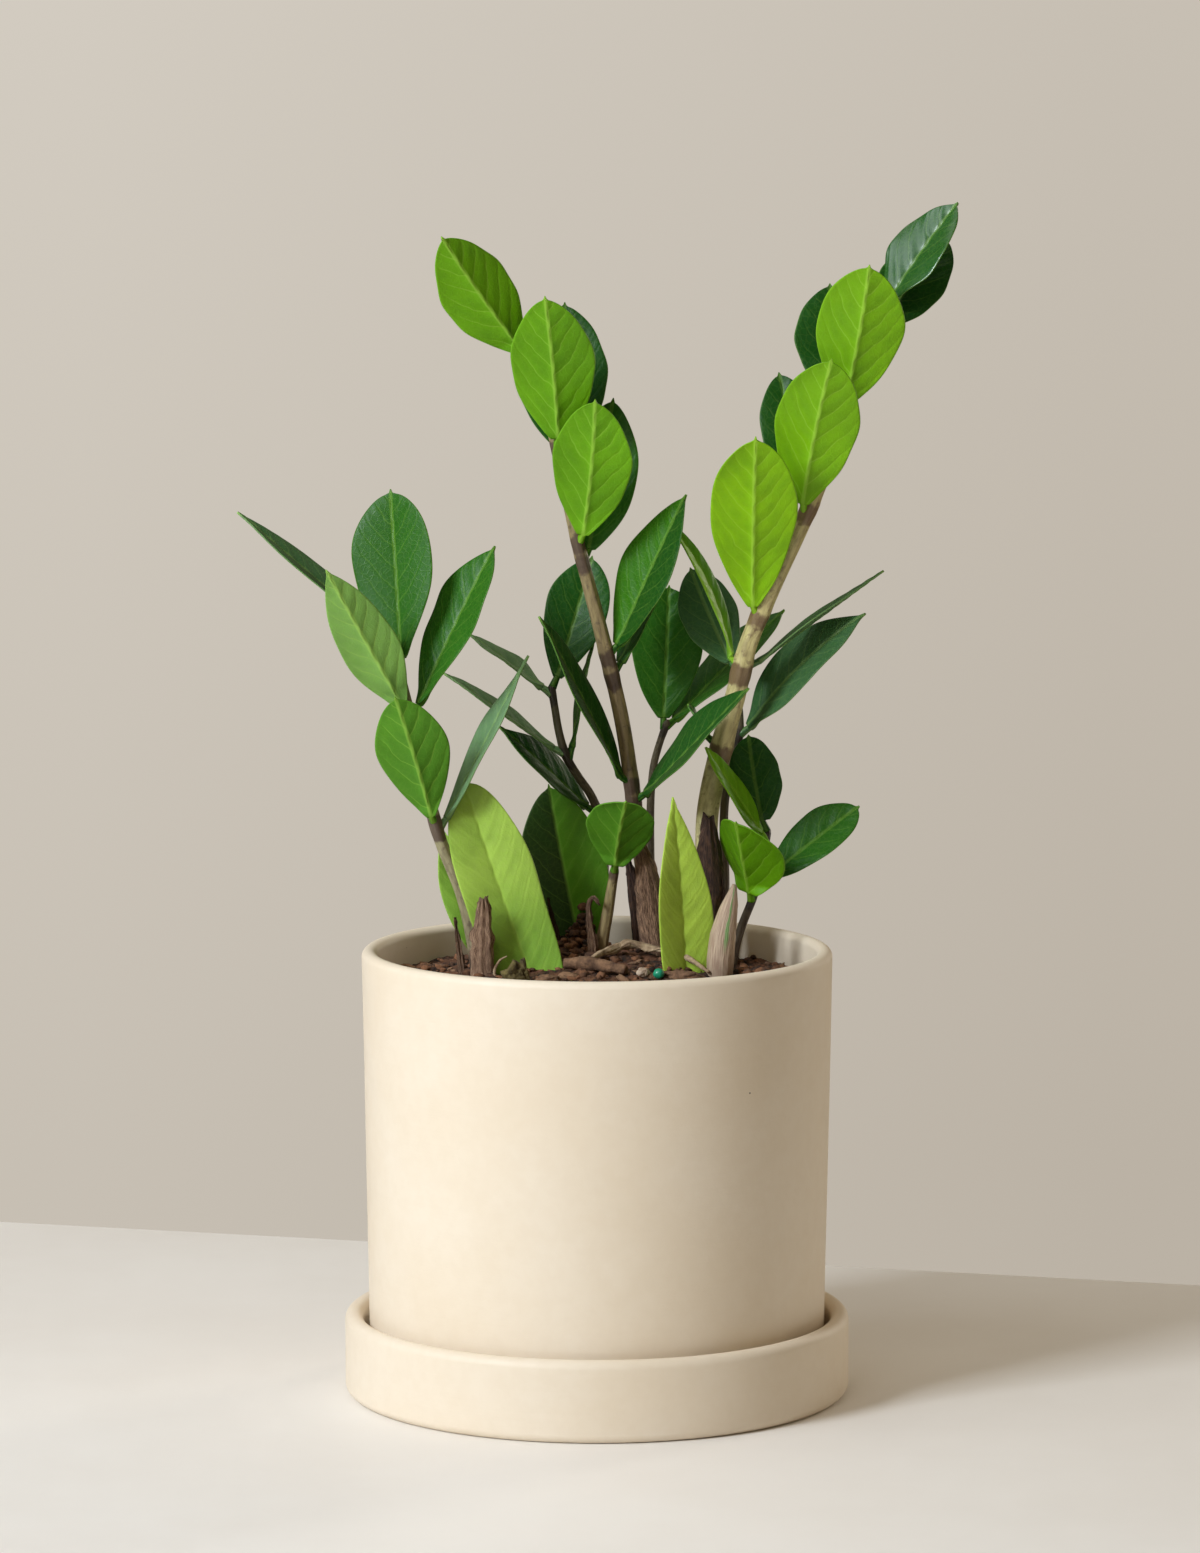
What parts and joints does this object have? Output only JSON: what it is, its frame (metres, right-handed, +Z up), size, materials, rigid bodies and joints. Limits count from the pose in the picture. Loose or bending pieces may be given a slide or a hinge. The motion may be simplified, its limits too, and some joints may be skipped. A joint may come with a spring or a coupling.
{
  "type": "potted zz plant",
  "caption": "Leafy zz plant with upright fleshy shoots and single leaves growing from soil in a round straight-sided pot that stands in a deep saucer.",
  "frame": {"origin": "centre of the saucer's flat underside, on the surface that the plant stands on", "axes": "+Z up along the pot's axis, +X to the right and +Y away from the viewer who faces the plant's front"},
  "size_m": [0.1982, 0.14, 0.3284],
  "materials": {
    "glaze": "matte cream glaze with small dark pinholes",
    "soil": "dark brown potting mix with crumbs and bark",
    "light_stem": "olive-beige stalk with purple-brown bands",
    "dark_stem": "thin near-black brown stalk",
    "bud": "taupe closed bud with a green streak",
    "dry_sheath": "dry brown papery sheath",
    "lime_leaf": "bright lime green, satin gloss",
    "mid_leaf": "mid green, satin gloss",
    "dark_leaf": "dark green, glossy",
    "young_leaf": "yellow-green young leaf with raised veins"
  },
  "bodies": {
    "root": {"saucer": "glaze", "pot": "glaze", "left_stem": "light_stem", "left_leaf_1": "mid_leaf", "left_leaf_2": "mid_leaf", "left_leaf_3": "dark_leaf", "left_leaf_4": "mid_leaf", "left_leaf_5": "dark_leaf", "left_leaf_6": "dark_leaf", "left_leaf_7": "dark_leaf", "back_left_stem": "dark_stem", "back_left_leaf_1": "dark_leaf", "back_left_leaf_2": "dark_leaf", "back_left_leaf_3": "dark_leaf", "back_left_leaf_4": "dark_leaf", "back_left_leaf_5": "dark_leaf", "small_middle_stem": "light_stem", "small_middle_leaf_1": "mid_leaf", "middle_stem": "light_stem", "middle_leaf_1": "mid_leaf", "middle_leaf_2": "dark_leaf", "middle_leaf_3": "dark_leaf", "middle_leaf_4": "mid_leaf", "middle_leaf_5": "dark_leaf", "middle_leaf_6": "lime_leaf", "middle_leaf_7": "dark_leaf", "middle_leaf_8": "lime_leaf", "middle_leaf_9": "lime_leaf", "back_middle_stem": "dark_stem", "back_middle_leaf_1": "dark_leaf", "back_middle_leaf_2": "dark_leaf", "right_stem": "light_stem", "right_leaf_1": "dark_leaf", "right_leaf_2": "dark_leaf", "right_leaf_3": "dark_leaf", "right_leaf_4": "lime_leaf", "right_leaf_5": "lime_leaf", "right_leaf_6": "dark_leaf", "right_leaf_7": "lime_leaf", "right_leaf_8": "dark_leaf", "right_leaf_9": "lime_leaf", "right_leaf_10": "dark_leaf", "right_leaf_11": "dark_leaf", "right_leaf_12": "mid_leaf", "back_right_stem": "dark_stem", "back_right_leaf_1": "dark_leaf", "small_right_stem": "dark_stem", "small_right_leaf_1": "mid_leaf", "small_right_leaf_2": "dark_leaf", "small_right_leaf_3": "lime_leaf", "small_right_leaf_4": "dark_leaf", "right_bud": "bud", "soil_leaf_1": "young_leaf", "soil_leaf_2": "mid_leaf", "soil_leaf_3": "young_leaf", "left_dry_sheath": "dry_sheath", "middle_dry_sheath": "dry_sheath", "right_dry_sheath": "dry_sheath", "soil": "soil"}
  },
  "joints": []
}
